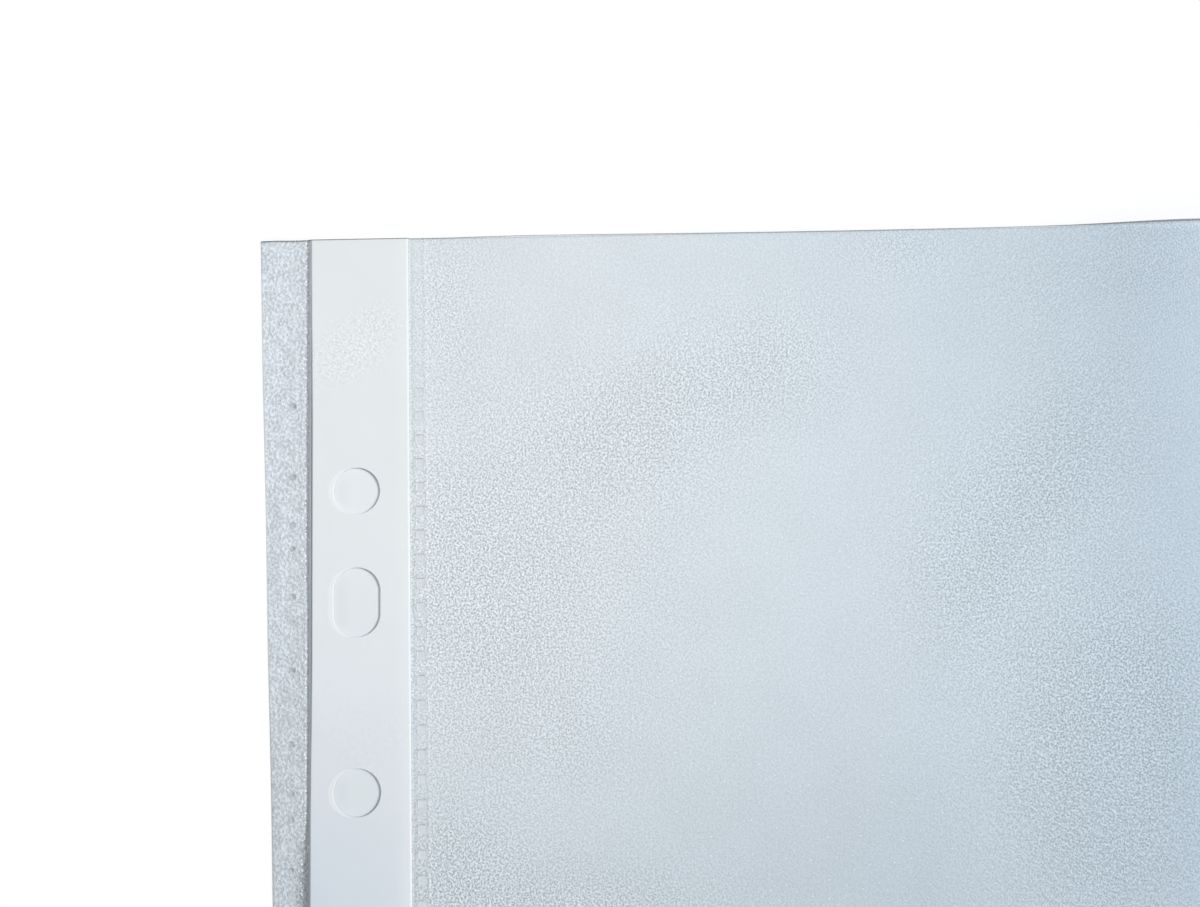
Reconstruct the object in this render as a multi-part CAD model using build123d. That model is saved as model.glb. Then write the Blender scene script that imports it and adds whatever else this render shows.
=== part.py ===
from build123d import *

import os
from math import floor, radians, sqrt, tan

# A punched A4 pocket that lies flat: X is its width, Y its height with the mouth at +Y, Z its thickness.
# The origin is the middle of its underside.

# Sheet, in millimetres
sheet_height = 310.0
pocket_inner_width = 216.0
film_thickness = 0.08

# Punched strip and the film margin outside it, which is cut askew below the mouth and then straight
strip_width = 13.3
strip_thickness = 0.40
margin_width = 7.0
margin_low_width = 4.5
margin_taper_length = 100.0

# Ring holes: one row, with a round hole at mid-height and pairs of holes and slots above and below it
hole_inset = 6.14
hole_diameter = 6.3
round_hole_offsets = [56.0, 80.0, 120.0]
inner_slot_offset = 37.5
inner_slot_length = 11.3
outer_slot_offset = 105.0
outer_slot_length = 9.3

# Row of pads that closes the pocket along the strip, pressed through the front film onto the back one
weld_pitch = 3.24
pad_width = 1.3
pad_length = 1.4
pad_land = 0.05
first_pad_drop = 2.15
weld_sink = 0.02

# Row of spots that closes the margin film in the same way, half a pitch out of step with the pads
spot_diameter = 1.0
spot_sides = 8
spot_inset = 2.45

# Seams along the right side and the bottom, pressed thinner towards their outer edge
side_weld_width = 2.0
bottom_weld_height = 2.0
seam_edge_thickness = 0.12

# Bare film folds on both sides of the strip, and has room to turn this far without touching itself
fold_limit = 100.0
fold_clearance = 0.02

# Heights of the layers: back film, then strip and pads, then front film
stack_thickness = 2 * film_thickness + strip_thickness
strip_low = film_thickness
front_low = film_thickness + strip_thickness
pad_thickness = strip_thickness + film_thickness - weld_sink
spot_thickness = film_thickness - weld_sink

# Half the bare film at each fold, and the heights of the two fold lines
fold_half_gap = stack_thickness / 2 * tan(radians(fold_limit / 2)) + fold_clearance
page_fold_z = stack_thickness / 2
margin_fold_z = film_thickness

# Places across the width, from left to right
binding_width = margin_width + strip_width + 2 * fold_half_gap
overall_width = binding_width + pad_land + pad_width + pocket_inner_width + side_weld_width
margin_left = -overall_width / 2
strip_left = margin_left + margin_width
margin_low_left = strip_left - margin_low_width
strip_right = strip_left + strip_width
margin_fold_x = strip_left - fold_half_gap
page_fold_x = strip_right + fold_half_gap
margin_right = margin_fold_x - fold_half_gap
pocket_left = page_fold_x + fold_half_gap
pad_x = pocket_left + pad_land + pad_width / 2
side_weld_left = overall_width / 2 - side_weld_width
hole_x = strip_left + hole_inset
spot_x = strip_left - spot_inset

# Places along the height
mouth_y = sheet_height / 2
foot_y = -sheet_height / 2
margin_taper_y = mouth_y - margin_taper_length
pocket_floor_y = foot_y + bottom_weld_height


# The film over the strip runs on past it, as far into each fold as the turning film leaves free
def fold_reach(height_off_axis):
    return sqrt(max(fold_half_gap**2 - height_off_axis**2, 0.0)) - fold_clearance


strip_film_right = page_fold_x + fold_reach(page_fold_z)
strip_back_film_left = margin_fold_x - fold_reach(margin_fold_z)


def outline(left, right, bottom, top):
    return Pos((left + right) / 2, (bottom + top) / 2) * Rectangle(right - left, top - bottom)


def margin_outline():
    inner_edge = [(margin_right, foot_y), (margin_right, mouth_y)]
    outer_edge = [(margin_left, mouth_y), (margin_low_left, margin_taper_y), (margin_low_left, foot_y)]
    return make_face(Polyline(*inner_edge, *outer_edge, close=True))


def layer(sketch, low, thickness):
    return extrude(Pos(0, 0, low) * sketch, thickness)


def ring_holes():
    round_hole = Circle(hole_diameter / 2)
    inner_slot = SlotOverall(inner_slot_length, hole_diameter, rotation=90)
    outer_slot = SlotOverall(outer_slot_length, hole_diameter, rotation=90)
    pairs = [(round_hole, offset) for offset in round_hole_offsets]
    pairs += [(inner_slot, inner_slot_offset), (outer_slot, outer_slot_offset)]
    paired = [Pos(hole_x, side * offset) * shape for shape, offset in pairs for side in (1, -1)]
    return [Pos(hole_x, 0) * round_hole] + paired


def weld_row(x, first_drop, mark, mark_length):
    free_height = sheet_height - bottom_weld_height - first_drop - mark_length / 2
    count = floor(free_height / weld_pitch) + 1
    return [Pos(x, mouth_y - first_drop - i * weld_pitch) * mark for i in range(count)]


def seam_profile(width):
    corners = [(0, 0), (width, 0), (width, seam_edge_thickness), (0, stack_thickness)]
    return make_face(Polyline(*corners, close=True))


def side_seam():
    face = Plane.XZ.offset(-foot_y) * Pos(side_weld_left, 0) * seam_profile(side_weld_width)
    return extrude(face, -sheet_height)


def bottom_seam():
    section = Plane(origin=(side_weld_left, pocket_floor_y, 0), x_dir=(0, -1, 0), z_dir=(-1, 0, 0))
    return extrude(section * seam_profile(bottom_weld_height), side_weld_left - pocket_left)


holes = ring_holes()
pads = weld_row(pad_x, first_pad_drop, Rectangle(pad_width, pad_length), pad_length)
first_spot_drop = first_pad_drop + weld_pitch / 2
spots = weld_row(spot_x, first_spot_drop, RegularPolygon(spot_diameter / 2, spot_sides), spot_diameter)

strip_sheet = outline(strip_left, strip_right, foot_y, mouth_y) - holes
strip_front_sheet = outline(strip_left, strip_film_right, foot_y, mouth_y) - holes
strip_back_sheet = outline(strip_back_film_left, strip_film_right, foot_y, mouth_y) - holes
pocket_sheet = outline(pocket_left, side_weld_left, pocket_floor_y, mouth_y)
margin_sheet = margin_outline()

nodes = {
    "hole_strip": layer(strip_sheet, strip_low, strip_thickness),
    "strip_front_film": layer(strip_front_sheet, front_low, film_thickness),
    "strip_back_film": layer(strip_back_sheet, 0, film_thickness),
    "pocket_front_film": layer(pocket_sheet - pads, front_low, film_thickness),
    "pocket_back_film": layer(pocket_sheet, 0, film_thickness),
    "strip_weld_pads": layer(Sketch() + pads, film_thickness, pad_thickness),
    "side_weld": side_seam(),
    "bottom_weld": bottom_seam(),
    "margin_front_film": layer(margin_sheet - spots, film_thickness, film_thickness),
    "margin_back_film": layer(margin_sheet, 0, film_thickness),
    "margin_weld_spots": layer(Sketch() + spots, film_thickness, spot_thickness),
}

os.makedirs("parts", exist_ok=True)
for name, solid in nodes.items():
    export_step(solid, f"parts/{name}.step")

print(f"overall {overall_width:.2f} x {sheet_height:.2f} x {stack_thickness:.2f} mm")
print(f"page fold at x {page_fold_x:.4f}, z {page_fold_z:.4f}; half of each fold {fold_half_gap:.4f}")
print(f"margin fold at x {margin_fold_x:.4f}, z {margin_fold_z:.4f}")
print(f"ring holes on x {hole_x:.4f}, {len(pads)} pads, {len(spots)} spots")
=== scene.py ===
from math import cos, exp, pi, radians, sin

import bmesh
import bpy
from mathutils import Matrix, Vector, noise


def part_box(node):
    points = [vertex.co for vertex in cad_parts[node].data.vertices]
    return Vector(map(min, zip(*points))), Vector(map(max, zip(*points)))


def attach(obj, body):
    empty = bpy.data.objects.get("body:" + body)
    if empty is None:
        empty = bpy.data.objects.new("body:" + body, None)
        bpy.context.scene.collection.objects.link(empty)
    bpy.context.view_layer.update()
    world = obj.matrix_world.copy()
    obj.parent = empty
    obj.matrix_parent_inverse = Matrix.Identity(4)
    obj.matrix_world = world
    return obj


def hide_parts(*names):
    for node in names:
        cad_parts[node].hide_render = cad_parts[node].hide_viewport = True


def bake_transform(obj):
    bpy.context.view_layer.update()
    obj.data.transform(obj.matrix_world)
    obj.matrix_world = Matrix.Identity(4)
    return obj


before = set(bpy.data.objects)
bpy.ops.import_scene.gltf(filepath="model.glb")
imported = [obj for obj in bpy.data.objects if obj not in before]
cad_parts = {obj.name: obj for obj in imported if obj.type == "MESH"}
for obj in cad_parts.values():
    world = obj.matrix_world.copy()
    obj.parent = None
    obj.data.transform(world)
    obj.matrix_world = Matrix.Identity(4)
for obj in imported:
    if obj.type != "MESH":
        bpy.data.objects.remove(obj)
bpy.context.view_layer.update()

mm = 0.001  # meshes are drawn in millimetres and turned to metres when they are finished
print("frame loaded:", ", ".join(sorted(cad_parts)))


# Corners of a node's box, in millimetres
def span(node):
    low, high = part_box(node)
    return [value / mm for value in low], [value / mm for value in high]


stripLow, stripHigh = span("hole_strip")
padsLow, padsHigh = span("strip_weld_pads")
spotsLow, spotsHigh = span("margin_weld_spots")
sideLow, sideHigh = span("side_weld")
footLow, footHigh = span("bottom_weld")
pocketLow = span("pocket_front_film")[0]
marginRight = span("margin_front_film")[1][0]

stripLeft = stripLow[0]
stripRight = stripHigh[0]
pocketLeft = pocketLow[0]
pocketRight = sideLow[0]
pocketFloor = pocketLow[1]
mouth = stripHigh[1]
foot = stripLow[1]
filmThickness = 0.08
faceGap = 0.004  # between faces that lie on each other
mergeGap = 0.002  # points nearer than this become one
slack = 0.01  # for telling on which side of an edge a point lies
weldPitch = 3.24


# 0 up to low, 1 from high on, with a soft step between them
def smooth(value, low, high):
    t = min(max((value - low) / (high - low), 0.0), 1.0)
    return t * t * (3 - 2 * t)


# Painted light falloff: the sheet is painted dimmer away from the mouth and darker and bluer away from the
# strip, and evens out past that corner
paintedSheetShade = {
    "evenUp": (-80, 66),
    "evenAcross": (8, 110),
    "evenDim": 0.5,
    "evenBlue": 0.66,
    "dimTop": 132.0,  # the painted dimming starts below this height
    "dimMost": 66.0,
    "dimReach": 64.0,
    "dimPower": 2.1,
    "dimLoss": 0.5,  # how much less the painted dimming is further right
    "dimLossAcross": (-45, -5),
    "blueLeft": -98.4,
    "blueReach": 101.0,
    "bluePower": 1.7,
    "patchBlue": 0.22,
    "patchSize": 60.0,
    "patchLayer": 8.2,
}


def evenAt(x, y):
    return max(1 - smooth(y, *paintedSheetShade["evenUp"]), smooth(x, *paintedSheetShade["evenAcross"]))


# Painted dimming down the sheet
def dimAt(x, y):
    tone = paintedSheetShade
    even = evenAt(x, y)
    drop = min(max(tone["dimTop"] - y, 0.0), tone["dimMost"])
    seen = (drop / tone["dimReach"]) ** tone["dimPower"]
    seen *= 1 - tone["dimLoss"] * smooth(x, *tone["dimLossAcross"])
    return seen * (1 - even) + tone["evenDim"] * even


# Painted shade across the sheet: darker and bluer away from the strip, in soft patches where it evens out
def shadeAt(x, y):
    tone = paintedSheetShade
    even = evenAt(x, y)
    seen = (max(x - tone["blueLeft"], 0.0) / tone["blueReach"]) ** tone["bluePower"]
    patch = noise.noise(Vector((x / tone["patchSize"], y / tone["patchSize"], tone["patchLayer"])))
    rest = tone["evenBlue"] + tone["patchBlue"] * patch
    return min(max(seen * (1 - even) + rest * even, 0.0), 1.0)


def plug(tree, spot, item):
    if isinstance(item, Wire):
        tree.links.new(item.socket, spot)
    else:
        spot.default_value = item


# A node's socket that takes part in sums
class Wire:
    def __init__(self, tree, socket):
        self.tree = tree
        self.socket = socket

    def calc(self, operation, first, second):
        node = self.tree.nodes.new("ShaderNodeMath")
        node.operation = operation
        plug(self.tree, node.inputs[0], first)
        plug(self.tree, node.inputs[1], second)
        return Wire(self.tree, node.outputs[0])

    def __add__(self, other):
        return self.calc("ADD", self, other)

    def __radd__(self, other):
        return self.calc("ADD", other, self)

    def __sub__(self, other):
        return self.calc("SUBTRACT", self, other)

    def __rsub__(self, other):
        return self.calc("SUBTRACT", other, self)

    def __mul__(self, other):
        return self.calc("MULTIPLY", self, other)

    def __rmul__(self, other):
        return self.calc("MULTIPLY", other, self)

    def atMost(self, other):
        return self.calc("MINIMUM", self, other)


# Every other node: its kind, its settings first, then its inputs by name or number
class Bench:
    def __init__(self, tree):
        self.tree = tree

    def add(self, kind, settings=None, inputs=None, out=0):
        node = self.tree.nodes.new(kind)
        for name, value in (settings or {}).items():
            setattr(node, name, value)
        for name, item in (inputs or {}).items():
            plug(self.tree, node.inputs[name], item)
        return Wire(self.tree, node.outputs[out] if node.outputs else None)

    def number(self, name):
        return self.add("ShaderNodeAttribute", {"attribute_name": name}, out="Fac")

    def axis(self, place, which):
        return self.add("ShaderNodeSeparateXYZ", None, {0: place}, out=which)

    def blendColour(self, share, first, second):
        return self.add("ShaderNodeMix", {"data_type": "RGBA"}, {0: share, 6: first, 7: second}, out=2)

    def dim(self, colour, share):
        return self.add("ShaderNodeVectorMath", {"operation": "SCALE"}, {0: colour, "Scale": share})

    def ramp(self, value, low, high):
        limits = {"Value": value, "From Min": low, "From Max": high}
        return self.add("ShaderNodeMapRange", {"interpolation_type": "SMOOTHSTEP"}, limits)

    def cloud(self, place, size, detail=1.0):
        inputs = {"Vector": place, "Scale": 1 / size, "Detail": detail, "Roughness": 0.5}
        return self.add("ShaderNodeTexNoise", {"noise_dimensions": "2D"}, inputs)

    # Round specks, one in some of the cells of a loose pattern, for painted glints and sparkles
    def specks(self, place, cell, radius, share):
        core = 0.4  # share of the radius that is at full strength
        soft = 0.02  # between cells with a speck and cells without
        inputs = {"Vector": place, "Scale": 1 / cell}
        kind = {"voronoi_dimensions": "2D"}
        distance = self.add("ShaderNodeTexVoronoi", kind, inputs, out="Distance")
        chance = self.add("ShaderNodeTexVoronoi", kind, inputs, out="Color")
        chance = self.add("ShaderNodeSeparateColor", None, {0: chance})
        speck = self.ramp(distance, radius / cell, core * radius / cell)
        return speck * self.ramp(chance, 1 - share, 1 - share + soft)

    # Soft oval patch: its middle, its reach along and across, its turn in degrees and its strength
    def patch(self, place, middle, reach, turn, strength):
        core = 0.45  # share of the reach that is at full strength
        flat = 1000  # a reach so long that height doesn't count
        inputs = {"Vector": place, "Location": (*middle, 0), "Rotation": (0, 0, radians(turn)),
                  "Scale": (*reach, flat)}
        local = self.add("ShaderNodeMapping", {"vector_type": "TEXTURE"}, inputs)
        away = self.add("ShaderNodeVectorMath", {"operation": "LENGTH"}, {0: local}, out="Value")
        return strength * self.ramp(away, 1.0, core)


def startFinish(name):
    finish = bpy.data.materials.new(name)
    finish.use_nodes = True
    finish.node_tree.nodes.clear()
    bench = Bench(finish.node_tree)
    coords = bench.add("ShaderNodeTexCoord", out="Object")
    place = bench.add("ShaderNodeVectorMath", {"operation": "SCALE"}, {0: coords, "Scale": 1 / mm})
    return finish, bench, place


def endFinish(bench, sockets):
    shader = bench.add("ShaderNodeBsdfPrincipled", None, sockets)
    bench.add("ShaderNodeOutputMaterial", None, {"Surface": shader})


def addBump(bench, height, depth):
    return bench.add("ShaderNodeBump", None, {"Strength": 1.0, "Distance": depth * mm, "Height": height})


def rgb(red, green, blue):
    return (red, green, blue, 1.0)


filmLook = {
    "nearTint": rgb(0.872, 0.93, 0.976),  # beside the strip, near the mouth, where the painted shade is lightest
    "farTint": rgb(0.65, 0.771, 0.868),
    "dimTint": (0.833, 0.857, 0.873),  # what is left of each colour where the painted dimming is strongest
    "alpha": 0.42,  # of the embossed face
    "innerAlpha": 0.15,  # of the smooth face inside the pocket
    "grainSize": 0.28,
    "grainTone": 0.42,
    "grainDepth": 0.04,
    "patches": (),
    "sparkle": 0.42,
    "blotchSize": 9.0,
    "blotchTone": 0.012,
    "roughness": 0.44,
    "gloss": 0.35,
    "edgeTint": rgb(0.2, 0.22, 0.24),
    "edgeWidth": 0.16,
    "edgeAlpha": 0.45,
}

stripFilmLook = {
    "nearTint": rgb(0.812, 0.882, 0.923),
    "farTint": rgb(0.624, 0.723, 0.844),
    "dimTint": (1.0, 1.0, 1.0),
    "alpha": 0.14,
    "innerAlpha": 0.045,
    "grainSize": 0.29,
    "grainTone": 0.3,
    "grainDepth": 0.008,
    "patches": (((-106.8, 140.2), (10.0, 5.5), 42.0, 2.2), ((-105.9, 88.0), (8.0, 8.0), 0.0, 0.8)),
    "sparkle": 0.0,
    "blotchSize": 9.0,
    "blotchTone": 0.01,
    "roughness": 0.4,
    "gloss": 0.3,
    "edgeTint": rgb(0.12, 0.135, 0.15),
    "edgeWidth": 0.16,
    "edgeAlpha": 0.8,
}

marginLook = {
    "nearTint": rgb(0.856, 0.916, 0.978),
    "farTint": rgb(0.675, 0.742, 0.793),
    "dimTint": (1.0, 1.0, 1.0),
    "alpha": 0.5,
    "innerAlpha": 0.18,
    "grainSize": 0.42,
    "grainTone": 0.17,
    "grainDepth": 0.05,
    "patches": (),
    "sparkle": 0.35,
    "blotchSize": 1.7,
    "blotchTone": 0.055,
    "roughness": 0.36,
    "gloss": 0.5,
    "edgeTint": rgb(0.16, 0.18, 0.2),
    "edgeWidth": 0.3,
    "edgeAlpha": 0.75,
}

# What all three kinds of film share
emboss = {
    "turn": 37.0,  # between the two layers of grain
    "grainSpan": (0.63, 1.37),
    "blotchSpan": (0.3, 0.7),
    "roughSwing": 0.06,
    "raisedFrom": (-15, 8),  # where the mouth stands up, its cut edge shows wider
    "raisedTo": (55, 75),
    "raisedEdge": 0.2,
    "edgeFade": 0.7,
    "glints": (0.42, 0.14, 0.45),  # painted glints: cell, radius and share of the cells
    "glintTint": rgb(0.98, 0.985, 0.99),
    "glintAlpha": 0.4,
    # painted sparkles of light across the film
    "sparkles": (1.1, 0.13, 0.2),
    # painted shade in the crease
    "creaseShadeTint": rgb(0.16, 0.185, 0.21),
    "creaseShadeAlpha": 0.6,
    "mostAlpha": 0.95,
}


# The film's colour with its painted shade and painted dimming
def filmColour(bench, look):
    colour = bench.blendColour(bench.number("shade"), look["nearTint"], look["farTint"])
    both = {0: colour, 1: look["dimTint"]}
    dimmest = bench.add("ShaderNodeVectorMath", {"operation": "MULTIPLY"}, both)
    return bench.blendColour(bench.number("dim"), colour, dimmest)


# Outer face of a film: patchy embossed grain, painted glints at the bends, painted shade in the crease, and
# dark cut edges
def embossedFinish(name, look):
    finish, bench, place = startFinish(name)
    turn = (0, 0, radians(emboss["turn"]))
    turned = bench.add("ShaderNodeMapping", None, {"Vector": place, "Rotation": turn})
    grain = bench.cloud(place, look["grainSize"]) + bench.cloud(turned, look["grainSize"])
    strength = bench.number("grain")
    for patch in look["patches"]:
        strength = strength + bench.patch(place, *patch)
    swing = (bench.ramp(grain, *emboss["grainSpan"]) * 2 - 1) * strength
    blotch = bench.ramp(bench.cloud(place, look["blotchSize"]), *emboss["blotchSpan"]) * 2 - 1
    tone = 1 + look["grainTone"] * swing + look["blotchTone"] * blotch
    colour = bench.dim(filmColour(bench, look), tone)

    across = bench.axis(place, 0)
    raised = bench.ramp(across, *emboss["raisedFrom"]) * (1 - bench.ramp(across, *emboss["raisedTo"]))
    lowEdge = mouth - look["edgeWidth"] - emboss["raisedEdge"] * raised
    highEdge = lowEdge + emboss["edgeFade"] * look["edgeWidth"]
    mouthEdge = bench.ramp(bench.axis(place, 1), lowEdge, highEdge)
    edge = (mouthEdge + bench.number("cutEdge")).atMost(1)
    crease = bench.number("crease")
    glint = bench.specks(place, *emboss["glints"]) * bench.number("glint")
    glint = (glint + look["sparkle"] * bench.specks(place, *emboss["sparkles"])).atMost(1)
    # Painted shade in the crease, then painted glints and sparkles, then the dark cut edges
    colour = bench.blendColour(crease, colour, emboss["creaseShadeTint"])
    colour = bench.blendColour(glint, colour, emboss["glintTint"])
    colour = bench.blendColour(edge, colour, look["edgeTint"])
    alpha = look["alpha"] * (1 - bench.number("bare")) + look["edgeAlpha"] * edge
    alpha = alpha + emboss["creaseShadeAlpha"] * crease + emboss["glintAlpha"] * glint
    endFinish(bench, {
        "Base Color": colour,
        "Roughness": look["roughness"] + emboss["roughSwing"] * swing,
        "Specular IOR Level": look["gloss"],
        "Alpha": alpha.atMost(emboss["mostAlpha"]),
        "Normal": addBump(bench, swing, look["grainDepth"]),
    })
    return finish


# Inner face of a film: smooth, with the same painted shade
def innerFinish(name, look):
    finish, bench = startFinish(name)[:2]
    endFinish(bench, {
        "Base Color": filmColour(bench, look),
        "Roughness": look["roughness"],
        "Specular IOR Level": look["gloss"],
        "Alpha": look["innerAlpha"],
    })
    return finish


stripLook = {
    "nearTint": rgb(0.807, 0.829, 0.84),
    "farTint": rgb(0.674, 0.715, 0.756),
    # painted highlight on the cut edges
    "cutHighlightTint": rgb(0.95, 0.96, 0.965),
    "edgeReach": (2.4, 0.1),  # painted lighter towards the right edge
    "edgeShare": (0.2, 0.15),  # and more so where the painted dimming is strongest
    "cloudSize": 18.0,
    "cloudDetail": 2.0,
    "cloudTone": (0.985, 0.03),
    "pitSize": 0.3,
    "pitDepth": 0.004,
    "roughness": 0.42,
    "roughSwing": 0.1,
    "gloss": 0.4,
    # the strip's painted dimming is less towards the pocket
    "lighterRight": 0.27,
}


# White strip: almost plain, with a faint cloudiness and fine pits; its dimming and the light on its cut
# edges and right edge are painted
def stripFinish(look):
    finish, bench, place = startFinish("whiteStrip")
    cloudy = bench.cloud(place, look["cloudSize"], look["cloudDetail"])
    pits = bench.cloud(place, look["pitSize"])
    colour = bench.blendColour(bench.number("shade"), look["nearTint"], look["farTint"])
    far, near = look["edgeReach"]
    low, more = look["edgeShare"]
    lighter = bench.ramp(bench.axis(place, 0), stripRight - far, stripRight - near)
    colour = bench.blendColour(lighter * (low + more * bench.number("shade")), colour, look["cutHighlightTint"])
    colour = bench.blendColour(bench.number("cut"), colour, look["cutHighlightTint"])
    low, swing = look["cloudTone"]
    endFinish(bench, {
        "Base Color": bench.dim(colour, low + swing * cloudy),
        "Roughness": look["roughness"] + look["roughSwing"] * (cloudy - 0.5),
        "Specular IOR Level": look["gloss"],
        "Normal": addBump(bench, pits, look["pitDepth"]),
    })
    return finish


weldLook = {
    "tint": rgb(0.92, 0.955, 0.985),
    "lineAndShadeTint": rgb(0.33, 0.375, 0.425),
    "lineSize": 0.45,  # of the gaps in the line
    "lineSpan": (0.25, 0.7),
    "lineShare": (0.45, 0.7),
    "alpha": 0.3,
    "lineAlpha": 0.4,
    "rippleSize": 0.9,
    "rippleDepth": 0.02,
    "rippleTone": (0.97, 0.08),
    "roughness": 0.3,
    "roughSwing": 0.12,
    "gloss": 0.5,
}


# Fused film: smooth and clear, with a darker, uneven line where the tool's edge has pressed, which on the
# pads and spots is also painted shade on one side
def weldFinish(look):
    finish, bench, place = startFinish("fusedFilm")
    ripple = bench.cloud(place, look["rippleSize"])
    broken = bench.ramp(bench.cloud(place, look["lineSize"]), *look["lineSpan"])
    low, swing = look["lineShare"]
    line = bench.number("line") * (low + swing * broken)
    colour = bench.blendColour(line, look["tint"], look["lineAndShadeTint"])
    low, swing = look["rippleTone"]
    endFinish(bench, {
        "Base Color": bench.dim(colour, low + swing * ripple),
        "Roughness": look["roughness"] + look["roughSwing"] * ripple,
        "Specular IOR Level": look["gloss"],
        "Alpha": look["alpha"] * (1 - bench.number("bare")) + look["lineAlpha"] * line,
        "Normal": addBump(bench, ripple, look["rippleDepth"]),
    })
    return finish


def bothFinishes(outerName, innerName, look):
    return embossedFinish(outerName, look), innerFinish(innerName, look)


filmPaints = bothFinishes("embossedFilm", "innerFilm", filmLook)
stripFilmPaints = bothFinishes("filmOnStrip", "innerFilmOnStrip", stripFilmLook)
marginPaints = bothFinishes("marginFilm", "innerMarginFilm", marginLook)
stripPaint = stripFinish(stripLook)
weldPaint = weldFinish(weldLook)
print("finishes made")


def newPiece(name, mesh, *paints):
    piece = bpy.data.objects.new(name, mesh)
    bpy.context.scene.collection.objects.link(piece)
    for paint in paints:
        mesh.materials.append(paint)
    return piece


def paintNumber(mesh, name, rule):
    layer = mesh.attributes.new(name, "FLOAT", "POINT")
    layer.data.foreach_set("value", [rule(*vertex.co) for vertex in mesh.vertices])


# Modifiers become plain mesh, millimetres become metres
def settle(piece, sharpAngle=35):
    bpy.context.view_layer.update()
    shown = piece.evaluated_get(bpy.context.evaluated_depsgraph_get())
    mesh = bpy.data.meshes.new_from_object(shown)
    piece.modifiers.clear()
    piece.data = mesh
    mesh.name = piece.name
    mesh.transform(Matrix.Scale(mm, 4))
    mesh.shade_smooth()
    mesh.set_sharp_from_angle(angle=radians(sharpAngle))
    return piece


def thicken(piece, thickness):
    shell = piece.modifiers.new("thickness", "SOLIDIFY")
    shell.thickness = thickness
    shell.offset = 1  # upwards, away from the underside that is drawn
    return piece


# Rows of points become one open surface that faces up: rows run up the sheet, points run to the right
def addGrid(bm, rows):
    grid = [[bm.verts.new(point) for point in row] for row in rows]
    for low, high in zip(grid, grid[1:]):
        for i in range(len(low) - 1):
            bm.faces.new((low[i], low[i + 1], high[i + 1], high[i]))


def steps(low, high, size):
    count = max(1, round((high - low) / size))
    return [low + (high - low) * i / count for i in range(count + 1)]


def asMesh(bm, name):
    mesh = bpy.data.meshes.new(name)
    bm.to_mesh(mesh)
    bm.free()
    return mesh


def faceCounts(*pieces):
    return " and ".join(str(len(piece.data.polygons)) for piece in pieces) + " faces"


ringHoles = {
    "x": stripLeft + 6.14,
    "radius": 3.15,
    "rounds": (120.0, 80.0, 56.0, 0.0, -56.0, -80.0, -120.0),
    "slots": ((105.0, 9.3), (37.5, 11.3), (-37.5, 11.3), (-105.0, 9.3)),  # middle and length
    "steps": 64,
    "filmCutBack": 0.62,  # the front film stands back from the holes on the left
    "collar": 0.08,  # width of the edge that the punch draws down
    "dip": 0.02,
    "dippedFrom": 0.6,  # share of the dip from which a point counts as drawn down
}


# Outlines of the ring holes, as loops of points
def holeLoops(holes, cutBack=0.0):
    loops = []
    marks = [(y, 0.0) for y in holes["rounds"]]
    marks += [(y, length - 2 * holes["radius"]) for y, length in holes["slots"]]
    for y, straight in marks:
        loop = []
        for i in range(holes["steps"]):
            angle = 2 * pi * (i + 0.5) / holes["steps"]
            shift = straight / 2 if sin(angle) > 0 else -straight / 2
            back = cutBack if cos(angle) < 0 else 0.0
            x = holes["x"] + holes["radius"] * cos(angle) - back
            loop.append((x, y + holes["radius"] * sin(angle) + shift))
        loops.append(loop)
    return loops


# A hole loop made larger all round
def grow(loop, extra):
    points = []
    for i, (x, y) in enumerate(loop):
        ahead = loop[(i + 1) % len(loop)]
        behind = loop[i - 1]
        out = Vector((ahead[1] - behind[1], behind[0] - ahead[0])).normalized()
        points.append((x + out.x * extra, y + out.y * extra))
    return points


# A flat face with holes, filled between its outline and a collar that dips into each hole
def addPunchedFace(bm, outline, loops, z, dip=0.0):
    rings = [[bm.verts.new((x, y, z)) for x, y in outline]]
    for loop in loops:
        inner = [bm.verts.new((x, y, z - dip)) for x, y in loop]
        outer = [bm.verts.new((x, y, z)) for x, y in grow(loop, ringHoles["collar"])]
        rings.append(outer)
        for i in range(len(loop)):
            j = (i + 1) % len(loop)
            bm.faces.new((inner[j], inner[i], outer[i], outer[j]))
    edges = []
    for verts in rings:
        for pair in zip(verts, verts[1:] + verts[:1]):
            edges.append(bm.edges.get(pair) or bm.edges.new(pair))
    made = bmesh.ops.triangle_fill(bm, use_beauty=True, use_dissolve=False, edges=edges, normal=(0, 0, 1))
    for item in made["geom"]:
        if isinstance(item, bmesh.types.BMFace):
            item.normal_update()
            if item.normal.z < 0:
                item.normal_flip()


# The strip's right edge, where the film leaves it bare, is a narrow band of its own
bareEdge = {"inner": 0.27, "outer": 0.2, "share": 0.75}
bareColumns = (stripRight - bareEdge["inner"], stripRight - bareEdge["outer"], stripRight)

# So is the left edge of the film on the strip, which the crease's painted shade reaches
creaseEdge = {"columns": 6, "step": 0.07}
creaseColumns = [stripLeft + creaseEdge["step"] * i for i in range(creaseEdge["columns"])]


def addRim(bm, columns, heights, z):
    addGrid(bm, [[(x, y, z) for x in columns] for y in heights])


def stripOutline(left, heights):
    return [(bareColumns[0], y) for y in heights] + [(left, y) for y in reversed(heights)]


def onRim(x):
    return x > stripRight - bareEdge["outer"] - slack


stripInset = 0.006  # the strip lies clear of both films

stripShape = {
    "low": stripLow[2] + stripInset,
    "high": stripHigh[2] - stripInset,
    "bevel": 0.06,
    "bevelSteps": 2,
    "bevelAngle": 50.0,
    "sharpAngle": 25.0,
    "flatNormal": 0.99,  # faces that look straight up or down stay flat
    "wallHighlight": 0.35,  # how much of the cut edges' painted highlight the hole walls have
    "rowStep": 5.0,
}


# The strip's painted dimming, a little less towards the pocket
def stripShade(x, y):
    return dimAt(x, y) * (1 - stripLook["lighterRight"] * smooth(x, stripLeft, stripRight))


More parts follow.
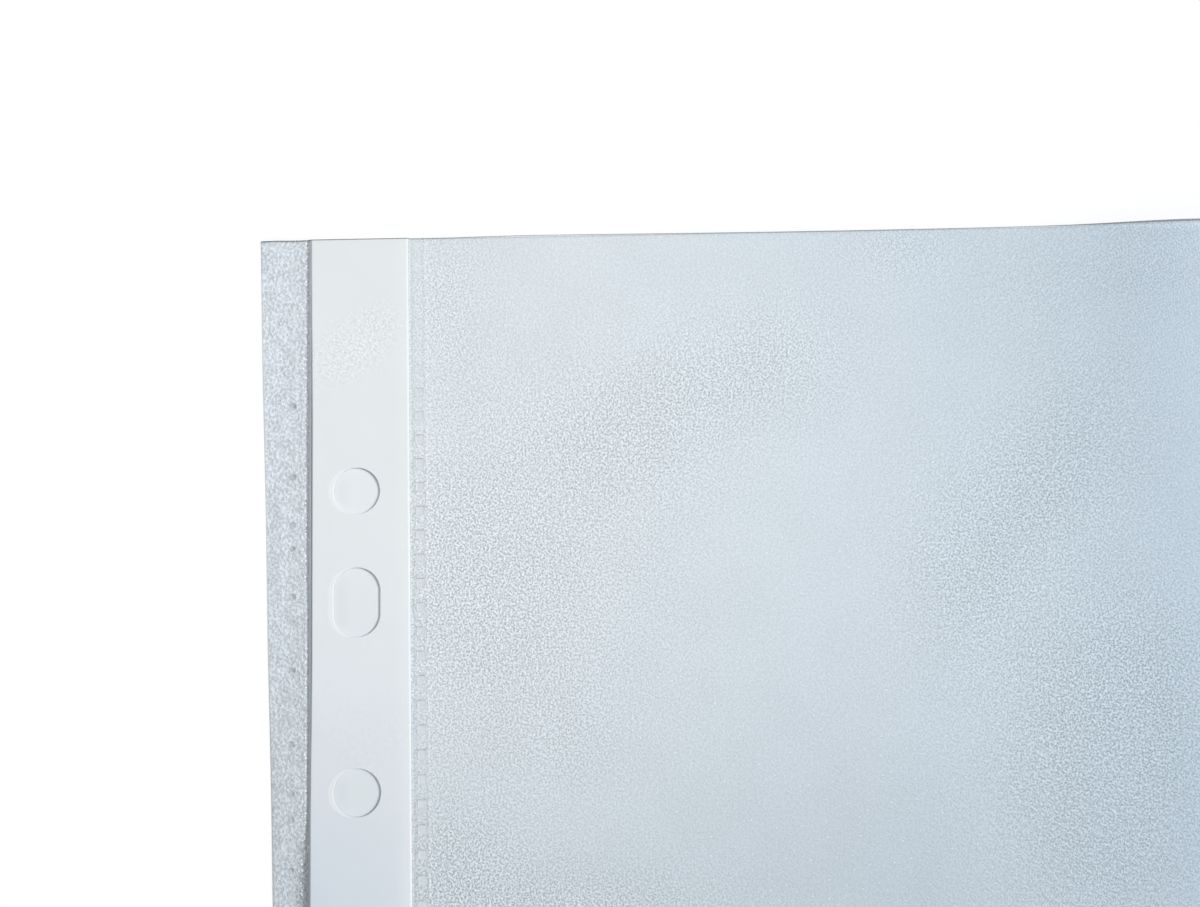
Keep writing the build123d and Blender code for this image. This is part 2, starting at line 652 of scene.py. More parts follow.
def makeStrip(shape):
    bm = bmesh.new()
    heights = steps(foot, mouth, shape["rowStep"])
    addRim(bm, bareColumns, heights, shape["low"])
    addPunchedFace(bm, stripOutline(stripLeft, heights), holeLoops(ringHoles), shape["low"])
    bmesh.ops.remove_doubles(bm, verts=bm.verts, dist=mergeGap)
    piece = newPiece("holeStrip", asMesh(bm, "holeStrip"), stripPaint)
    thicken(piece, shape["high"] - shape["low"])
    bevel = piece.modifiers.new("edge", "BEVEL")
    bevel.width = shape["bevel"]
    bevel.segments = shape["bevelSteps"]
    bevel.limit_method = "ANGLE"
    bevel.angle_limit = radians(shape["bevelAngle"])
    settle(piece, shape["sharpAngle"])
    for face in piece.data.polygons:
        face.use_smooth = abs(face.normal.z) < shape["flatNormal"]
    flatTop = (shape["high"] - slack) * mm

    # Painted highlight: strong on the bare right rim, fainter on the hole walls
    def cutHighlightOf(x, y, z):
        if onRim(x / mm):
            return bareEdge["share"]
        return 0.0 if z > flatTop else shape["wallHighlight"]

    paintNumber(piece.data, "cut", cutHighlightOf)
    paintNumber(piece.data, "shade", lambda x, y, z: stripShade(x / mm, y / mm))
    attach(piece, "binding_edge")
    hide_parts("hole_strip")
    return piece


strip = makeStrip(stripShape)
print("strip made:", faceCounts(strip))


bindingFilm = {
    "rowStep": 2.0,
    "topLow": stripHigh[2] + faceGap,  # underside of the front film on the strip
    "marginLow": 0.09,  # underside of the front film on the back film
    "topWidth": 7.0,
    "lowWidth": 4.5,
    "widthFrom": 55.0,  # below this height the margin keeps its narrow width
    "foldColumns": (0.0, 0.07, 0.14, 0.21, 0.28, 0.36, 0.45, 0.56, 0.7, 0.86, 1.04, 1.3, 1.6, 2.0),
    "outerColumns": 10,
    "edgeColumn": 0.17,
    "wave": 0.05,
    "waveFrom": (3.0, 4.2),  # to the left of the strip, past the spots
    "waveLength": 7.3,
    "waveSlant": 1.2,
    "stripGrain": 0.1,
    "stripGrainFrom": 0.3,  # to the left of the strip
    "shadeDrop": (10, 112),
    "cutEdge": 0.04,
    "cutEdgeTop": 0.24,
    "cutEdgeTopDrop": (2, 8),
    "cutEdgeLow": 0.54,
    "cutEdgeLowDrop": (42, 80),
    "holeEdge": 0.28,  # painted shade on the drawn-down edge's side away from the light
    "holeEdgeAcross": (-0.2, 2.4),
}

# The crease beside the strip: drops are below the mouth, the other pairs are shares of its width
creaseShape = {
    "narrow": 0.28,
    "narrowDrop": (42, 52),
    "wide": 1.2,
    "wideDrop": (76, 87),
    "wideLoss": 0.7,
    "wideLossDrop": (95, 130),
    "overlap": 0.21,
    "overlapDrop": (-4, 27),
    "overlapEndDrop": (56, 86),
    "fall": 0.8,
    "ridge": 0.08,
    "ridgeMost": 1.2,  # the ridge's place stops widening here
    "ridgeRise": (0.7, 1.05),
    "ridgeFall": (1.1, 1.6),
    # start, depth, deeper shade and fade shape the crease's painted shade
    "start": (-0.05, 0.02),
    "depth": 0.54,
    "deeperShade": 0.36,
    "deeperShadeDrop": (62, 90),
    "fade": (0.1, 1.15),
    # where the painted glints lie on the crease's ridge
    "glintFrom": (0.35, 0.7),
    "glintTo": ((0.9, 0.2), (1.2, 0.4)),  # least, and more by its width
}


def marginWidth(y):
    film = bindingFilm
    share = min(max((y - film["widthFrom"]) / (mouth - film["widthFrom"]), 0.0), 1.0)
    return film["lowWidth"] + (film["topWidth"] - film["lowWidth"]) * share


# How wide the crease is: narrower half-way down the margin's slant, then wide where the slant ends
def creaseSpread(y):
    drop = mouth - y
    crease = creaseShape
    lost = crease["wideLoss"] * smooth(drop, *crease["wideLossDrop"])
    wide = smooth(drop, *crease["wideDrop"]) * (1 - lost)
    return 1.0 - crease["narrow"] * smooth(drop, *crease["narrowDrop"]) + crease["wide"] * wide


# How far the crease's painted shade reaches over the strip
def creaseOverlap(y):
    drop = mouth - y
    crease = creaseShape
    over = crease["overlap"] * smooth(drop, *crease["overlapDrop"])
    return over * (1 - smooth(drop, *crease["overlapEndDrop"]))


# A soft step at two shares of a width
def smoothShare(d, width, shares):
    return smooth(d, shares[0] * width, shares[1] * width)


def marginColumns(y, shape):
    inner = list(shape["foldColumns"])
    width = marginWidth(y)
    count = shape["outerColumns"]
    room = width - shape["edgeColumn"] - inner[-1]
    return inner + [inner[-1] + room * i / count for i in range(1, count + 1)] + [width]


# Height of the front film's underside, d to the left of the strip's edge
def marginFrontHeight(d, y, shape):
    spread = creaseSpread(y)
    fall = smooth(d, 0.0, creaseShape["fall"] * spread)
    reach = min(spread, creaseShape["ridgeMost"])
    ridge = creaseShape["ridge"] * smoothShare(d, reach, creaseShape["ridgeRise"])
    ridge *= 1 - smoothShare(d, reach, creaseShape["ridgeFall"])
    wave = shape["wave"] * (1 + sin(y / shape["waveLength"] + shape["waveSlant"] * d))
    wave *= smooth(d, *shape["waveFrom"])
    return shape["topLow"] + (shape["marginLow"] - shape["topLow"]) * fall + ridge + wave


# The back film lies flat
def marginBackHeight(d, y, shape):
    return 0.0


# Faces that look away from the film's outer side take the inner finish
def dressFilm(piece, outerUp, zoneOf):
    for face in piece.data.polygons:
        outer = (face.normal.z > 0) == outerUp
        zone = zoneOf(face.center.x / mm)
        face.material_index = 2 * zone + (0 if outer else 1)


def makeBindingFilm(name, shape, height, stripHeight, cutBack, outerUp):
    rowsY = steps(foot, mouth, shape["rowStep"])
    bm = bmesh.new()
    rows = []
    for y in rowsY:
        columns = marginColumns(y, shape)
        rows.append([(stripLeft - d, y, height(d, y, shape)) for d in reversed(columns)])
    addGrid(bm, rows)
    addRim(bm, creaseColumns, rowsY, stripHeight)
    addRim(bm, bareColumns, rowsY, stripHeight)
    outline = stripOutline(creaseColumns[-1], rowsY)
    dip = ringHoles["dip"] if outerUp else 0.0
    addPunchedFace(bm, outline, holeLoops(ringHoles, cutBack), stripHeight, dip)
    bmesh.ops.remove_doubles(bm, verts=bm.verts, dist=mergeGap)
    mesh = asMesh(bm, name)

    # Painted shade in the crease, deeper further down the sheet
    def creaseShadeOf(x, y, z):
        d = stripLeft - x
        over = creaseOverlap(y)
        low, high = creaseShape["start"]
        start = smooth(d, low - over, high - over)
        if d < 0:
            return start
        deeper = creaseShape["deeperShade"] * smooth(mouth - y, *creaseShape["deeperShadeDrop"])
        fade = 1 - smoothShare(d, creaseSpread(y), creaseShape["fade"])
        return (creaseShape["depth"] + deeper) * start * fade

    def grainOf(x, y, z):
        return 1.0 if x < stripLeft - shape["stripGrainFrom"] else shape["stripGrain"]

    # Painted glints on the crease's ridge
    def glintOf(x, y, z):
        d = stripLeft - x
        spread = creaseSpread(y)
        near = smoothShare(d, spread, creaseShape["glintFrom"])
        ends = [least + more * spread for least, more in creaseShape["glintTo"]]
        return near * (1 - smooth(d, *ends))

    dipped = stripHeight - ringHoles["dippedFrom"] * ringHoles["dip"]

    # Dark cut edges, and painted shade on the drawn-down hole edges
    def cutEdgeAndShadeOf(x, y, z):
        if x > stripLeft and z < dipped:
            return shape["holeEdge"] * smooth(x - ringHoles["x"], *shape["holeEdgeAcross"])
        if marginWidth(y) - (stripLeft - x) > 2 * slack:
            return 0.0
        drop = mouth - y
        top = shape["cutEdgeTop"] * (1 - smooth(drop, *shape["cutEdgeTopDrop"]))
        return shape["cutEdge"] + top + shape["cutEdgeLow"] * smooth(drop, *shape["cutEdgeLowDrop"])

    # Painted shade: the margin greys down the sheet, and the film on the strip takes the strip's painted
    # dimming
    def shadeOf(x, y, z):
        return smooth(mouth - y, *shape["shadeDrop"]) if x < stripLeft - slack else stripShade(x, y)

    paintNumber(mesh, "grain", grainOf)
    paintNumber(mesh, "crease", creaseShadeOf)
    paintNumber(mesh, "cutEdge", cutEdgeAndShadeOf)
    paintNumber(mesh, "shade", shadeOf)
    paintNumber(mesh, "glint", glintOf)
    paintNumber(mesh, "bare", lambda x, y, z: bareEdge["share"] if onRim(x) else 0.0)
    piece = newPiece(name, mesh, *stripFilmPaints, *marginPaints)
    settle(thicken(piece, filmThickness))
    dressFilm(piece, outerUp, lambda x: 1 if x < stripLeft else 0)
    for face in piece.data.polygons:
        face.use_smooth = face.material_index > 1  # the film on the strip is flat
    return piece


def flatArea(shape):
    heights = steps(foot, mouth, shape["rowStep"])
    step = heights[1] - heights[0]
    margin = sum((marginWidth(y) + marginWidth(y + step)) / 2 * step for y in heights[:-1])
    radius = ringHoles["radius"]
    holes = len(ringHoles["rounds"]) * pi * radius**2
    holes += sum(pi * radius**2 + (length - 2 * radius) * 2 * radius for y, length in ringHoles["slots"])
    return ((stripRight - stripLeft) * (mouth - foot) + margin - holes) * mm * mm


bindingFront = makeBindingFilm("bindingFrontFilm", bindingFilm, marginFrontHeight, bindingFilm["topLow"],
                               ringHoles["filmCutBack"], True)
bindingBack = makeBindingFilm("bindingBackFilm", bindingFilm, marginBackHeight, 0.0, 0.0, False)
bindingFlat = ((stripRight - stripLeft + bindingFilm["topWidth"]) * mm, (mouth - foot) * mm)
foldStart = (stripLeft * mm, 0, 0)
foldEnd = (marginRight * mm, 0, 0)
for piece, nodes in ((bindingFront, ("strip_front_film", "margin_front_film")),
                     (bindingBack, ("strip_back_film", "margin_back_film"))):
    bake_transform(piece)
    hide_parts(*nodes)
flatArea(bindingFilm)
flatArea(bindingFilm)
print("binding films made:", faceCounts(bindingFront, bindingBack))


pocketFilm = {
    "rowStep": 2.0,
    "columnStep": 2.2,
    "foldColumns": (
        0.0, 0.06, 0.12, 0.18, 0.25, 0.32, 0.4, 0.5, 0.62, 0.78, 1.0,
        1.3, 1.7, 1.98, 2.07, 2.16, 2.24, 2.33, 2.45, 2.6, 3.2, 4.2,
    ),
    "topLow": stripHigh[2] + faceGap,
    "padLow": 0.1,
    "bend": 0.26,  # how far from the strip the front film is down
    "bendEnd": 0.6,
    "waves": ((0.22, 95.0, 140.0, 0.6), (0.16, -150.0, 72.0, 2.1)),  # height, two lengths and phase
    "waveLeft": (0.1, 16.0),  # past the pads
    "waveRight": (18.0, 0.5),  # before the side seam
    "waveFoot": (0.5, 18.0),
    "padRidge": 0.05,
    "padRidgeRise": (1.98, 2.16),
    "padRidgeFall": (2.2, 2.6),
    "swell": 2.3,  # how far the films stand up at the middle of the mouth
    "swellReach": 30.0,
    "swellLeft": (-1.0, 4.0),  # where the mouth rises, and how softly
    "swellRight": (62.0, 9.0),
    "mouthCover": 0.8,  # painted shade: less see-through along the raised mouth, against the light that reaches under it
    "mouthCoverDrop": (2.2, 0.9),
    "grainFloor": (0.2, 0.38),  # by the strip and at the right of the patches
    "grainFloorAcross": (-60, 5),
    "grainPatches": (  # x, y, reach across, reach along, strength
        (-91.0, 107.0, 21.0, 24.0, 0.72), (-70.0, 127.0, 14.0, 10.0, 0.55), (-57.0, 135.0, 12.0, 8.0, 0.45),
        (-47.0, 138.0, 9.0, 7.0, 0.3), (-95.0, 147.0, 6.0, 11.0, 0.4), (-25.0, 107.0, 9.0, 12.0, 0.6),
        (-15.0, 119.0, 10.0, 10.0, 0.55), (-7.0, 128.0, 8.0, 10.0, 0.45), (-9.0, 79.0, 13.0, 20.0, 0.95),
        (-1.0, 93.0, 9.0, 13.0, 0.35), (-95.0, 70.0, 9.0, 8.0, 0.6), (-80.0, 63.0, 20.0, 6.0, 0.65),
        (-79.0, 86.0, 6.0, 5.0, 0.2), (-31.0, 152.0, 6.0, 4.0, 0.35), (1.5, 149.0, 8.0, 6.0, 0.3),
        (-13.0, 146.0, 8.0, 7.0, 0.2),
    ),
    "loosePatches": 1.3,  # strength of the patches further down and right
    "looseUp": (48, 66),
    "looseAcross": (12, 30),
    "looseSize": 34.0,
    "looseLayer": 3.7,
    "grainMost": 1.1,
    "padGrain": (0.85, 0.15),  # finer between the pads, and how much more past them
    "padGrainPast": (-0.1, 0.2),
    "crease": 0.13,  # faint painted shade beside the strip
    "creaseRise": (0.1, 0.3),
    "creaseFall": (0.5, 0.85),
    # painted glint line at the right of the pads
    "glint": 0.3,
    "glintRise": (-0.05, 0.15),
    "glintFall": (0.3, 0.6),
    "glintDrop": (15, 40),
}


# Underside of the front film: down from the strip, pressed at the pads, then loose with a few low waves
def pocketFrontHeight(x, y, shape):
    d = x - stripRight
    if d < shape["bendEnd"]:
        return shape["topLow"] + (shape["padLow"] - shape["topLow"]) * smooth(d, 0.0, shape["bend"])
    near, far = shape["waveLeft"]
    inside = smooth(x, padsHigh[0] + near, padsHigh[0] + far)
    far, near = shape["waveRight"]
    inside *= 1 - smooth(x, pocketRight - far, pocketRight - near)
    near, far = shape["waveFoot"]
    inside *= smooth(y, pocketFloor + near, pocketFloor + far)
    waves = 0.0
    for tall, across, along, phase in shape["waves"]:
        waves += tall * (1 + sin(2 * pi * (x / across + y / along) + phase))
    ridge = shape["padRidge"] * smooth(d, *shape["padRidgeRise"]) * (1 - smooth(d, *shape["padRidgeFall"]))
    return shape["padLow"] + ridge + inside * waves + pocketBackHeight(x, y, shape)


# Share of the mouth's lift, from the strip's side to the seam's side
def mouthLift(x, shape):
    left, leftSoft = shape["swellLeft"]
    right, rightSoft = shape["swellRight"]
    return 1 / (1 + exp(-(x - left) / leftSoft)) / (1 + exp((x - right) / rightSoft))


# The back film lies flat, except that both films lift off the floor near the middle of the mouth
def pocketBackHeight(x, y, shape):
    return shape["swell"] * mouthLift(x, shape) * exp(-(mouth - y) / shape["swellReach"])


def makePocketFilm(name, shape, height, outerUp):
    columns = [stripRight + d for d in shape["foldColumns"]]
    columns += steps(columns[-1], pocketRight, shape["columnStep"])[1:]
    rowsY = steps(pocketFloor, mouth, shape["rowStep"])
    bm = bmesh.new()
    addGrid(bm, [[(x, y, height(x, y, shape)) for x in columns] for y in rowsY])
    mesh = asMesh(bm, name)

    def grainOf(x, y, z):
        low, high = shape["grainFloor"]
        total = low + (high - low) * smooth(x, *shape["grainFloorAcross"])
        for px, py, rx, ry, strength in shape["grainPatches"]:
            total += strength * exp(-((x - px) / rx) ** 2 - ((y - py) / ry) ** 2)
        loose = max(1 - smooth(y, *shape["looseUp"]), smooth(x, *shape["looseAcross"]))
        size = shape["looseSize"]
        patch = max(noise.noise(Vector((x / size, y / size, shape["looseLayer"]))), 0.0)
        total += shape["loosePatches"] * loose * patch
        fine, more = shape["padGrain"]
        past = smooth(x - padsHigh[0], *shape["padGrainPast"])
        return min(total, shape["grainMost"]) * (fine + more * past)

    # Painted glint line at the right of the pads
    def glintOf(x, y, z):
        past = x - padsHigh[0]
        line = smooth(past, *shape["glintRise"]) * (1 - smooth(past, *shape["glintFall"]))
        return shape["glint"] * line * smooth(mouth - y, *shape["glintDrop"])

    # Painted shade beside the strip
    def creaseShadeOf(x, y, z):
        d = x - stripRight
        return shape["crease"] * smooth(d, *shape["creaseRise"]) * (1 - smooth(d, *shape["creaseFall"]))

    # Painted shade along the raised mouth, as less see-through film
    def mouthShadeOf(x, y, z):
        far, near = shape["mouthCoverDrop"]
        return -shape["mouthCover"] * mouthLift(x, shape) * smooth(y, mouth - far, mouth - near)

    paintNumber(mesh, "grain", grainOf)
    paintNumber(mesh, "glint", glintOf)
    paintNumber(mesh, "crease", creaseShadeOf)
    paintNumber(mesh, "bare", mouthShadeOf)
    # painted shade and painted dimming of the sheet
    paintNumber(mesh, "shade", lambda x, y, z: shadeAt(x, y))
    paintNumber(mesh, "dim", lambda x, y, z: dimAt(x, y))
    piece = newPiece(name, mesh, *filmPaints)
    settle(thicken(piece, filmThickness))
    dressFilm(piece, outerUp, lambda x: 0)
    stripRight * mm
    pocketLeft * mm
    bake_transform(piece)
    return piece


pocketFlat = ((pocketRight - stripRight) * mm, (mouth - pocketFloor) * mm)
pocketFront = makePocketFilm("pocketFrontFilm", pocketFilm, pocketFrontHeight, True)
pocketBack = makePocketFilm("pocketBackFilm", pocketFilm, pocketBackHeight, False)
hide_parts("pocket_front_film")
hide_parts("pocket_back_film")
print("pocket films made:", faceCounts(pocketFront, pocketBack))


# Loops of points, from the outside in, become a small closed mark
def makeMark(name, loops, shape, lineOf):
    points = []
    values = []
    for loop, z, strength in zip(loops, shape["heights"], shape["lines"]):
        points += [(x, y, z) for x, y in loop]
        values += [strength * lineOf(x, y) for x, y in loop]
    count = len(loops[0])
    faces = [tuple(reversed(range(count)))]
    for first in range(0, len(points) - count, count):
        for i in range(count):
            j = (i + 1) % count
            faces.append((first + i, first + j, first + count + j, first + count + i))
    faces.append(tuple(range(len(points) - count, len(points))))
    mesh = bpy.data.meshes.new(name)
    mesh.from_pydata(points, [], faces)
    layer = mesh.attributes.new("line", "FLOAT", "POINT")
    layer.data.foreach_set("value", values)
    return newPiece(name, mesh)


# Where a row of welds runs, from the box of its CAD node; z is what it stands on
def rowOf(low, high, half, z, shape):
    first = high[1] - half
    last = low[1] + half
    least, most = shape["sizes"]
    return {
        "Count": round((first - last) / weldPitch) + 1,
        "Pitch": weldPitch,
        "Start": ((low[0] + high[0]) / 2, first, z + faceGap),
        "Least": least,
        "Most": most,
        "Seed": shape["seed"],
    }


# One tree for both rows of welds: a mark repeated down a line, each a little different in size
def makeWeldRow(name, mark, row, paint):
    tree = bpy.data.node_groups.new(name, "GeometryNodeTree")
    tree.interface.new_socket("Geometry", in_out="OUTPUT", socket_type="NodeSocketGeometry")
    kinds = {"Mark": "Object", "Count": "Int", "Pitch": "Float", "Start": "Vector", "Least": "Float",
             "Most": "Float", "Seed": "Int"}
    inputs = {}
    for label, kind in kinds.items():
        inputs[label] = tree.interface.new_socket(label, in_out="INPUT", socket_type="NodeSocket" + kind)
    bench = Bench(tree)

    def given(label):
        return bench.add("NodeGroupInput", out=label)

    offset = bench.add("ShaderNodeCombineXYZ", None, {"Y": 0 - given("Pitch")})
    line = bench.add("GeometryNodeMeshLine", {"mode": "OFFSET"},
                     {"Count": given("Count"), "Start Location": given("Start"), "Offset": offset})
    shape = bench.add("GeometryNodeObjectInfo", None, {"Object": given("Mark")}, out="Geometry")
    size = bench.add("FunctionNodeRandomValue", {"data_type": "FLOAT"},
                     {2: given("Least"), 3: given("Most"), "Seed": given("Seed")}, out=1)
    placed = {"Points": line, "Instance": shape, "Scale": size}
    marks = bench.add("GeometryNodeInstanceOnPoints", None, placed)
    solid = bench.add("GeometryNodeRealizeInstances", None, {"Geometry": marks})
    painted = bench.add("GeometryNodeSetMaterial", None, {"Geometry": solid, "Material": paint})
    bench.add("NodeGroupOutput", None, {"Geometry": painted})
    piece = newPiece(name, bpy.data.meshes.new(name))
    modifier = piece.modifiers.new("row", "NODES")
    modifier.node_group = tree
    values = {"Mark": mark, **row}
    for label, socket in inputs.items():
        modifier[socket.identifier] = values[label]
    settle(piece)
    bpy.data.objects.remove(mark)
    return piece


# The lines, pressed and partly painted shade, grow stronger or fainter along the row
def changeLines(mesh, rule):
    for vertex, item in zip(mesh.vertices, mesh.attributes["line"].data):
        item.value *= rule(vertex.co.y / mm)


padShape = {
    "width": padsHigh[0] - padsLow[0],
    "length": 1.4,
    "corner": 0.2,
    "cornerLoss": 0.5,  # how fast the corner shrinks with the inset
    "leastCorner": 0.04,
    "insets": (0.0, 0.02, 0.06, 0.13, 0.28),
    "heights": (0.0, 0.06, 0.065, 0.02, 0.014),
    "lines": (0.1, 0.2, 0.5, 0.9, 0.0),
    "topLine": 0.45,  # the line, painted shade, is full above this height of the pad
    "sideLine": 0.16,
    "rightFrom": 0.1,  # the painted shade is twice as strong on the right
    "sizes": (0.95, 1.0),
    "seed": 4,
    "mouthFade": (12, 28),  # fainter by the mouth
    "mouthLine": (0.25, 0.75),
    "mouthBare": 0.65,
}


# Three points round each corner
def padLoop(shape, inset):
    x = shape["width"] / 2 - inset
    y = shape["length"] / 2 - inset
    c = max(shape["corner"] - shape["cornerLoss"] * inset, shape["leastCorner"])
    loop = []
    for sx, sy, turn in ((1, 1, 0), (-1, 1, 90), (-1, -1, 180), (1, -1, 270)):
        for step in (0, 45, 90):
            angle = radians(turn + step)
            loop.append((sx * (x - c) + c * cos(angle), sy * (y - c) + c * sin(angle)))
    return loop


def makePads(shape):
    # Painted shade: full along the pad's top, fainter down its right side, faintest elsewhere
    def lineOf(x, y):
        if y > shape["topLine"]:
            return 1.0
        return shape["sideLine"] * (2 if x > shape["rightFrom"] else 1)

    def away(y):
        return smooth(mouth - y, *shape["mouthFade"])

    mark = makeMark("padMark", [padLoop(shape, inset) for inset in shape["insets"]], shape, lineOf)
    row = rowOf(padsLow, padsHigh, shape["length"] / 2, pocketFilm["padLow"] + filmThickness, shape)
    piece = makeWeldRow("weldPads", mark, row, weldPaint)
    low, more = shape["mouthLine"]
    changeLines(piece.data, lambda y: low + more * away(y))
    paintNumber(piece.data, "bare", lambda x, y, z: shape["mouthBare"] * (1 - away(y / mm)))
    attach(piece, "pocket")
    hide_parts("strip_weld_pads")
    return piece


spotShape = {
    "radius": 0.5,
    "sides": 10,
    "shares": (1.0, 0.9, 0.72, 0.42),
    "heights": (0.0, 0.035, 0.04, 0.008),
    "lines": (0.2, 0.65, 1.0, 0.95),
    "lowLine": 0.7,  # the painted shade is fainter on the side away from the light
    "sizes": (0.85, 1.2),
    "seed": 11,
    "mouthFade": (12, 24),
    "uneven": (0.7, 0.55),  # some spots show more than others
    "unevenTurn": 2.3,
    "unevenLeast": 0.25,
}


def makeSpots(shape):
    loops = []
    for share in shape["shares"]:
        r = shape["radius"] * share
        angles = [2 * pi * i / shape["sides"] for i in range(shape["sides"])]
        loops.append([(r * cos(angle), r * sin(angle)) for angle in angles])

    # Painted shade, stronger on the upper right of each spot
    mark = makeMark("spotMark", loops, shape, lambda x, y: 1.0 if x + y > 0 else shape["lowLine"])
    row = rowOf(spotsLow, spotsHigh, shape["radius"], bindingFilm["marginLow"] + filmThickness, shape)
    piece = makeWeldRow("marginSpots", mark, row, weldPaint)

    def shownAt(y):
        spot = round((row["Start"][1] - y) / weldPitch)
        middle, swing = shape["uneven"]
        uneven = middle + swing * sin(spot * shape["unevenTurn"])
        return smooth(mouth - y, *shape["mouthFade"]) * min(max(uneven, shape["unevenLeast"]), 1.0)

    changeLines(piece.data, shownAt)
    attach(piece, "margin")
    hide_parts("margin_weld_spots")
    return piece


pads = makePads(padShape)
spots = makeSpots(spotShape)
print("welds made:", faceCounts(pads, spots))


seamShape = {
    "across": (0.0, 0.12, 0.3, 0.5, 0.8, 1.2, 1.6, 1.85, 2.0),
    "tops": (0.18, 0.21, 0.2, 0.15, 0.13, 0.13, 0.15, 0.16, 0.12),
    "rowStep": 1.62,
    "ripple": 0.06,
    "rippleTurn": 1.9,
    "line": 0.4,
}


# Heat-sealed band: a low bead on the pocket's side, then flat out to the cut edge
def makeSeam(name, node, start, end, outward, shape):
    along = (end - start).normalized()
    points = []
    rowsD = steps(0.0, (end - start).length, shape["rowStep"])
    for d in rowsD:
        for across, top in zip(shape["across"], shape["tops"]):
            point = start + along * d + outward * across
            swing = 1 + shape["ripple"] * sin(d * shape["rippleTurn"] + across)
            points.append((point.x, point.y, top * swing))
    width = len(shape["across"])
    last = len(rowsD) - 1
    under = len(points)
    points += [(x, y, 0.0) for x, y, z in points]
    faces = []
    for j in range(last):
        for i in range(width - 1):
            a = j * width + i
            faces.append((a, a + 1, a + 1 + width, a + width))
            faces.append((a + under, a + width + under, a + 1 + width + under, a + 1 + under))
    ring = list(range(width))
    ring += [j * width + width - 1 for j in range(1, last + 1)]
    ring += [last * width + i for i in range(width - 2, -1, -1)]
    ring += [j * width for j in range(last - 1, 0, -1)]
    for a, b in zip(ring, ring[1:] + ring[:1]):
        faces.append((a, a + under, b + under, b))
    mesh = bpy.data.meshes.new(name)
    mesh.from_pydata(points, [], faces)
    bm = bmesh.new()
    bm.from_mesh(mesh)
    bmesh.ops.recalc_face_normals(bm, faces=bm.faces)
    bm.to_mesh(mesh)
    bm.free()
    paintNumber(mesh, "line", lambda x, y, z: shape["line"])
    piece = newPiece(name, mesh, weldPaint)
    settle(piece)
    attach(piece, "pocket")
    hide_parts(node)
    return piece


sideStart = Vector((sideLow[0], sideLow[1], 0))
sideEnd = Vector((sideLow[0], sideHigh[1], 0))
footStart = Vector((footLow[0], footHigh[1], 0))
footEnd = Vector((footHigh[0], footHigh[1], 0))
sideSeam = makeSeam("sideSeam", "side_weld", sideStart, sideEnd, Vector((1, 0, 0)), seamShape)
footSeam = makeSeam("footSeam", "bottom_weld", footStart, footEnd, Vector((0, -1, 0)), seamShape)
print("seams made:", faceCounts(sideSeam, footSeam))


floorLook = {
    "size": 6.0,  # in metres, as is the drop
    "drop": 0.00003,
    "tint": rgb(0.98, 0.98, 0.98),
    "nearShade": rgb(0.785, 0.815, 0.845),  # painted shadow under the strip, where the holes show it
    "farShade": rgb(0.68, 0.735, 0.765),
    "shadeAlong": (130, 75),
    "shadeEdge": (0.3, 1.0),  # soft edge of the painted shadow band, inside the strip's outline
    "leftShade": (0.92, 0.08),  # painted shade, darker at the left of the holes, and how much lighter past that
    "leftShadeFrom": (3.2, 0.5),
    "rightLight": 0.16,  # painted light at the right of the holes, in the shade that their edge casts
    "rightLightFrom": (2.45, 2.85),
    "roughness": 0.9,
}


# 1 between two places, with a soft edge on both sides
def within(bench, value, low, high, edge):
    near, far = edge
    return bench.ramp(value, low + near, low + far) * (1 - bench.ramp(value, high - far, high - near))


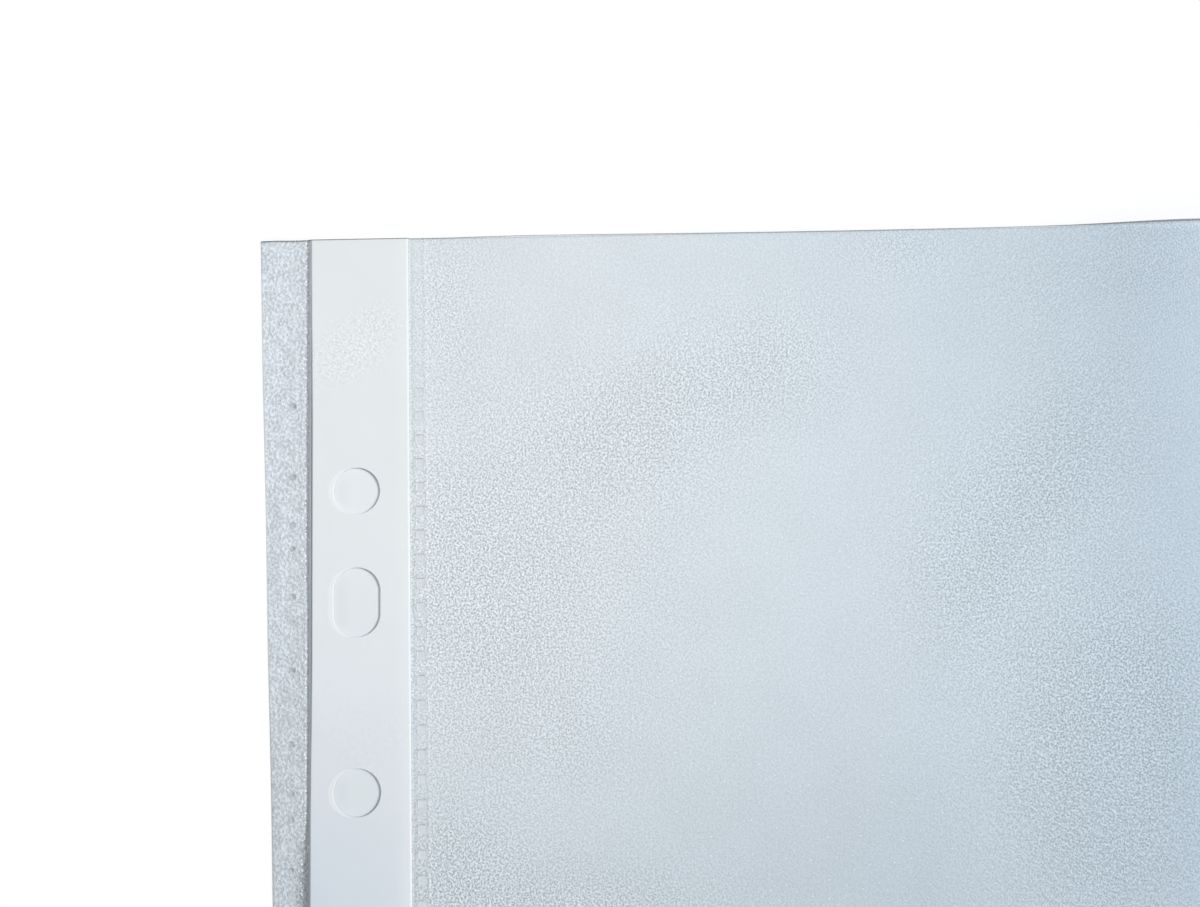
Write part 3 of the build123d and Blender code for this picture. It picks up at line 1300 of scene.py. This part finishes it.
# Evenly pale floor with a painted shadow band under the strip, seen through the holes
def makeFloor(look):
    half = look["size"] / 2
    mesh = bpy.data.meshes.new("floor")
    corners = [(-half, -half), (half, -half), (half, half), (-half, half)]
    mesh.from_pydata([(x, y, -look["drop"]) for x, y in corners], [], [(0, 1, 2, 3)])
    finish, bench, place = startFinish("paleFloor")
    across = bench.axis(place, 0)
    along = bench.axis(place, 1)
    shade = bench.blendColour(bench.ramp(along, *look["shadeAlong"]), look["nearShade"], look["farShade"])
    far, near = look["leftShadeFrom"]
    low, more = look["leftShade"]
    tone = low + more * bench.ramp(across, ringHoles["x"] - far, ringHoles["x"] - near)
    near, far = look["rightLightFrom"]
    tone = tone + look["rightLight"] * bench.ramp(across, ringHoles["x"] + near, ringHoles["x"] + far)
    shade = bench.dim(shade, tone)
    under = within(bench, across, stripLeft, stripRight, look["shadeEdge"])
    under = under * within(bench, along, foot, mouth, look["shadeEdge"])
    colour = bench.blendColour(under, look["tint"], shade)
    endFinish(bench, {"Base Color": colour, "Roughness": look["roughness"], "Specular IOR Level": 0.0})
    newPiece("floor", mesh, finish)


lightLook = {"keyStrength": 2.4, "keyAngle": 18.0, "keyHeight": 52.0, "keyTurn": 6.0, "fill": 0.42}


def makeLights(look):
    lamp = bpy.data.lights.new("key", "SUN")
    lamp.energy = look["keyStrength"]
    lamp.angle = radians(look["keyAngle"])
    key = bpy.data.objects.new("key", lamp)
    bpy.context.scene.collection.objects.link(key)
    height = radians(look["keyHeight"])
    turn = radians(look["keyTurn"])
    towards = Vector((cos(height) * cos(turn), cos(height) * sin(turn), sin(height)))
    key.rotation_mode = "QUATERNION"
    key.rotation_quaternion = towards.to_track_quat("Z", "Y")
    world = bpy.data.worlds.new("studio")
    world.use_nodes = True
    world.node_tree.nodes.clear()
    bench = Bench(world.node_tree)
    seen = bench.add("ShaderNodeLightPath", out="Is Camera Ray")
    seen = seen + bench.add("ShaderNodeLightPath", out="Is Glossy Ray")
    seen = (seen + bench.add("ShaderNodeLightPath", out="Is Transmission Ray")).atMost(1)
    sky = {"Color": rgb(1, 1, 1), "Strength": look["fill"] + (1 - look["fill"]) * seen}
    bench.add("ShaderNodeOutputWorld", None, {"Surface": bench.add("ShaderNodeBackground", None, sky)})
    bpy.context.scene.world = world


cameraLook = {
    "lens": 42.0,
    "sensor": 36.0,
    "nearest": 10.0,
    "place": (-76.89, 101.44, 189.49),
    "turn": (6.944, -0.718, -1.289),
}


def makeCamera(look):
    lens = bpy.data.cameras.new("camera")
    lens.lens = look["lens"]
    lens.sensor_fit = "HORIZONTAL"
    lens.sensor_width = look["sensor"]
    lens.clip_start = look["nearest"] * mm
    camera = bpy.data.objects.new("camera", lens)
    bpy.context.scene.collection.objects.link(camera)
    camera.location = [value * mm for value in look["place"]]
    camera.rotation_euler = [radians(value) for value in look["turn"]]
    bpy.context.scene.camera = camera


makeFloor(floorLook)
makeLights(lightLook)
makeCamera(cameraLook)
bpy.context.scene.view_settings.view_transform = "Standard"
bpy.context.scene.cycles.transparent_max_bounces = 32  # light passes many layers of film
print("floor, light and camera made")
